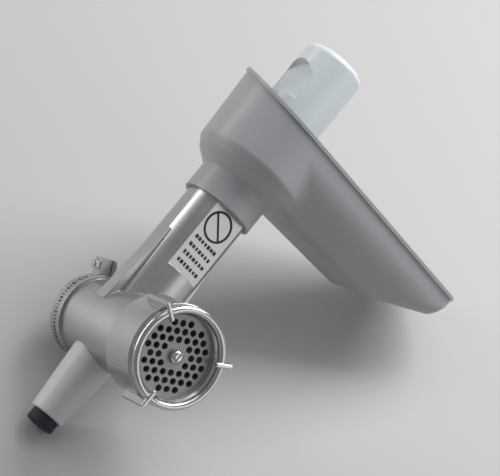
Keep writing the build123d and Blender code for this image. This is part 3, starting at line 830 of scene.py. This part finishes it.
class MakeMarks(bpy.types.Operator):
    """Plain ring, bar and rows of dashes on the feed tube's flat"""

    bl_idname = "grinder.make_marks"
    bl_label = "Plain marks"

    relief = 0.18 * MM
    line = 0.7 * MM
    emblem_across = -1.0 * MM
    rows_width = 16.4 * MM
    rows_height = 16.8 * MM
    rows_middle = 59.2 * MM
    dash_width = 1.9 * MM
    dash_height = 2.3 * MM

    def ring_and_bar(self, radius):
        """A raised ring with a slanting bar across it, drawn flat."""
        shape = bmesh.new()
        steps = 64
        inner = radius - 2 * self.line
        sides = ((inner, 0.0), (radius, 0.0), (radius, self.relief), (inner, self.relief))
        rings = []
        for step in range(steps):
            turn = 2 * pi * step / steps
            rings.append([shape.verts.new((r * cos(turn), r * sin(turn), h)) for r, h in sides])
        for step in range(steps):
            here, after = rings[step], rings[(step + 1) % steps]
            for side in range(4):
                other = (side + 1) % 4
                shape.faces.new((here[side], after[side], after[other], here[other]))
        placing = Matrix.Rotation(radians(-45), 4, "Z") @ Matrix.Diagonal(
            (2 * (radius - 1.5 * self.line), 1.8 * self.line, self.relief, 1.0)
        )
        placing.translation = (0.0, 0.0, self.relief / 2)
        bmesh.ops.create_cube(shape, size=1.0, matrix=placing)
        mesh = bpy.data.meshes.new("ring_and_bar")
        shape.to_mesh(mesh)
        shape.free()
        return mesh

    def execute(self, context):
        marks = settings("marks")
        # the emblem and the dashes get a dark painted shade, standing in for the shadow in their relief
        stain_and_shade = painted_shade_mark("cast_mark_stain", settings("finishes").marks)
        flat = TUBE_AXIS.y - TUBE_FLAT
        emblem = outward_faces(self.ring_and_bar(marks.emblem_radius))
        emblem.transform(facing_outlet((self.emblem_across, flat, marks.emblem_height)))
        show("tube_flat_emblem", emblem, stain_and_shade, "head")
        sizes = {
            "Across": marks.dashes,
            "Rows": marks.dash_rows,
            "Width": self.rows_width,
            "Height": self.rows_height,
            "Dash Size": (self.dash_width, self.dash_height, self.relief),
            "Seed": 7,
        }
        dashes = grow("dash_rows", dash_grid_tree(), sizes, stain_and_shade)
        dashes.transform(facing_outlet((0.0, flat - self.relief / 3, self.rows_middle)))
        show("tube_flat_dashes", outward_faces(dashes), stain_and_shade, "head")
        return {"FINISHED"}


class MakeStage(bpy.types.Operator):
    """Table, lights, world and camera"""

    bl_idname = "grinder.make_stage"
    bl_label = "Stage"

    def table_material(self):
        """Pale matte board, seen from its upper side only."""
        material, tree, shader = new_finish("pale_board", 0.0, {"Roughness": 0.6})
        shader.inputs["Base Color"].default_value = (*settings("stage").table, 1.0)
        behind = add(tree, "ShaderNodeNewGeometry").outputs["Backfacing"]
        clear = add(tree, "ShaderNodeBsdfTransparent").outputs[0]
        output = tree.nodes["Material Output"]
        mixed = add(tree, "ShaderNodeMixShader", {0: behind, 1: shader.outputs[0], 2: clear})
        tree.links.new(mixed.outputs[0], output.inputs["Surface"])
        return material

    def add_table(self):
        reach = max(
            TABLE_DOWN.dot(vertex.co) for node in frame["nodes"].values() for vertex in node.data.vertices
        )
        half = settings("stage").table_size / 2
        turn = (-TABLE_DOWN).to_track_quat("Z", "Y").to_matrix().to_4x4()
        placing = Matrix.Translation(TABLE_DOWN * reach) @ turn
        square = ((-half, -half), (half, -half), (half, half), (-half, half))
        corners = [placing @ Vector((x, y, 0.0)) for x, y in square]
        mesh = bpy.data.meshes.new("table")
        mesh.from_pydata([tuple(corner) for corner in corners], [], [(0, 1, 2, 3)])
        mesh.materials.append(self.table_material())
        table = bpy.data.objects.new("table", mesh)
        bpy.context.scene.collection.objects.link(table)

    def add_light(self, name, towards, distance, size, power, colour):
        """A soft area light in a direction given in the camera's own axes, aimed at the head."""
        middle = (CAD_BOX[0] + CAD_BOX[1]) / 2
        direction = CAMERA_RIGHT * towards[0] + CAMERA_UP * towards[1] + CAMERA_BACK * towards[2]
        direction.normalize()
        data = bpy.data.lights.new(name, "AREA")
        data.shape = "RECTANGLE"
        data.size, data.size_y = size
        data.energy = power
        data.color = colour
        lamp = bpy.data.objects.new(name, data)
        bpy.context.scene.collection.objects.link(lamp)
        turn = direction.to_track_quat("Z", "Y").to_matrix().to_4x4()
        lamp.matrix_world = Matrix.Translation(middle + direction * distance) @ turn

    def add_world(self):
        world = bpy.data.worlds.new("pale_room")
        world.use_nodes = True
        background = world.node_tree.nodes["Background"]
        background.inputs["Color"].default_value = WORLD_COLOUR
        background.inputs["Strength"].default_value = WORLD_STRENGTH
        bpy.context.scene.world = world

    def add_camera(self):
        data = bpy.data.cameras.new("camera")
        data.sensor_width = 36.0
        data.lens = settings("stage").lens
        data.clip_start = 0.05
        camera = bpy.data.objects.new("camera", data)
        axes = Matrix((CAMERA_RIGHT, CAMERA_UP, CAMERA_BACK)).transposed().to_4x4()
        camera.matrix_world = Matrix.Translation(CAMERA_PLACE) @ axes
        bpy.context.scene.collection.objects.link(camera)
        bpy.context.scene.camera = camera

    def execute(self, context):
        stage = settings("stage")
        self.add_table()
        for name, (towards, distance, size, colour) in LIGHTS.items():
            self.add_light(name, towards, distance, size, getattr(stage, name + "_power"), colour)
        context.scene.view_settings.view_transform = "Standard"
        self.add_world()
        self.add_camera()
        return {"FINISHED"}


PIECE_OPERATORS = (
    MakeCasting,
    MakeNut,
    MakeDisc,
    MakeWormSet,
    MakeRear,
    MakeLeg,
    MakeTray,
    MakePusher,
    MakeMarks,
    MakeStage,
)


class GrinderPanel(bpy.types.Panel):
    """Sidebar panel that lists the settings and the operators"""

    bl_idname = "VIEW3D_PT_grinder"
    bl_label = "Meat grinder head"
    bl_space_type = "VIEW_3D"
    bl_region_type = "UI"
    bl_category = "Grinder"

    def draw(self, context):
        for kind in ("finishes", "marks", "stage"):
            group = settings(kind)
            for name in group.__annotations__:
                self.layout.prop(group, name)
        for operator in PIECE_OPERATORS:
            self.layout.operator(operator.bl_idname)


SETTING_GROUPS = {"finishes": GrinderFinishes, "marks": GrinderMarks, "stage": GrinderStage}
CLASSES = (*SETTING_GROUPS.values(), *PIECE_OPERATORS, GrinderPanel)


def register():
    for item in CLASSES:
        bpy.utils.register_class(item)
    for kind, group in SETTING_GROUPS.items():
        setattr(bpy.types.Scene, "grinder_" + kind, PointerProperty(type=group))


def unregister():
    for kind in SETTING_GROUPS:
        delattr(bpy.types.Scene, "grinder_" + kind)
    for item in reversed(CLASSES):
        bpy.utils.unregister_class(item)


def main():
    register()
    for operator in PIECE_OPERATORS:
        group, name = operator.bl_idname.split(".")
        getattr(getattr(bpy.ops, group), name)()


if __name__ == "__main__":
    main()
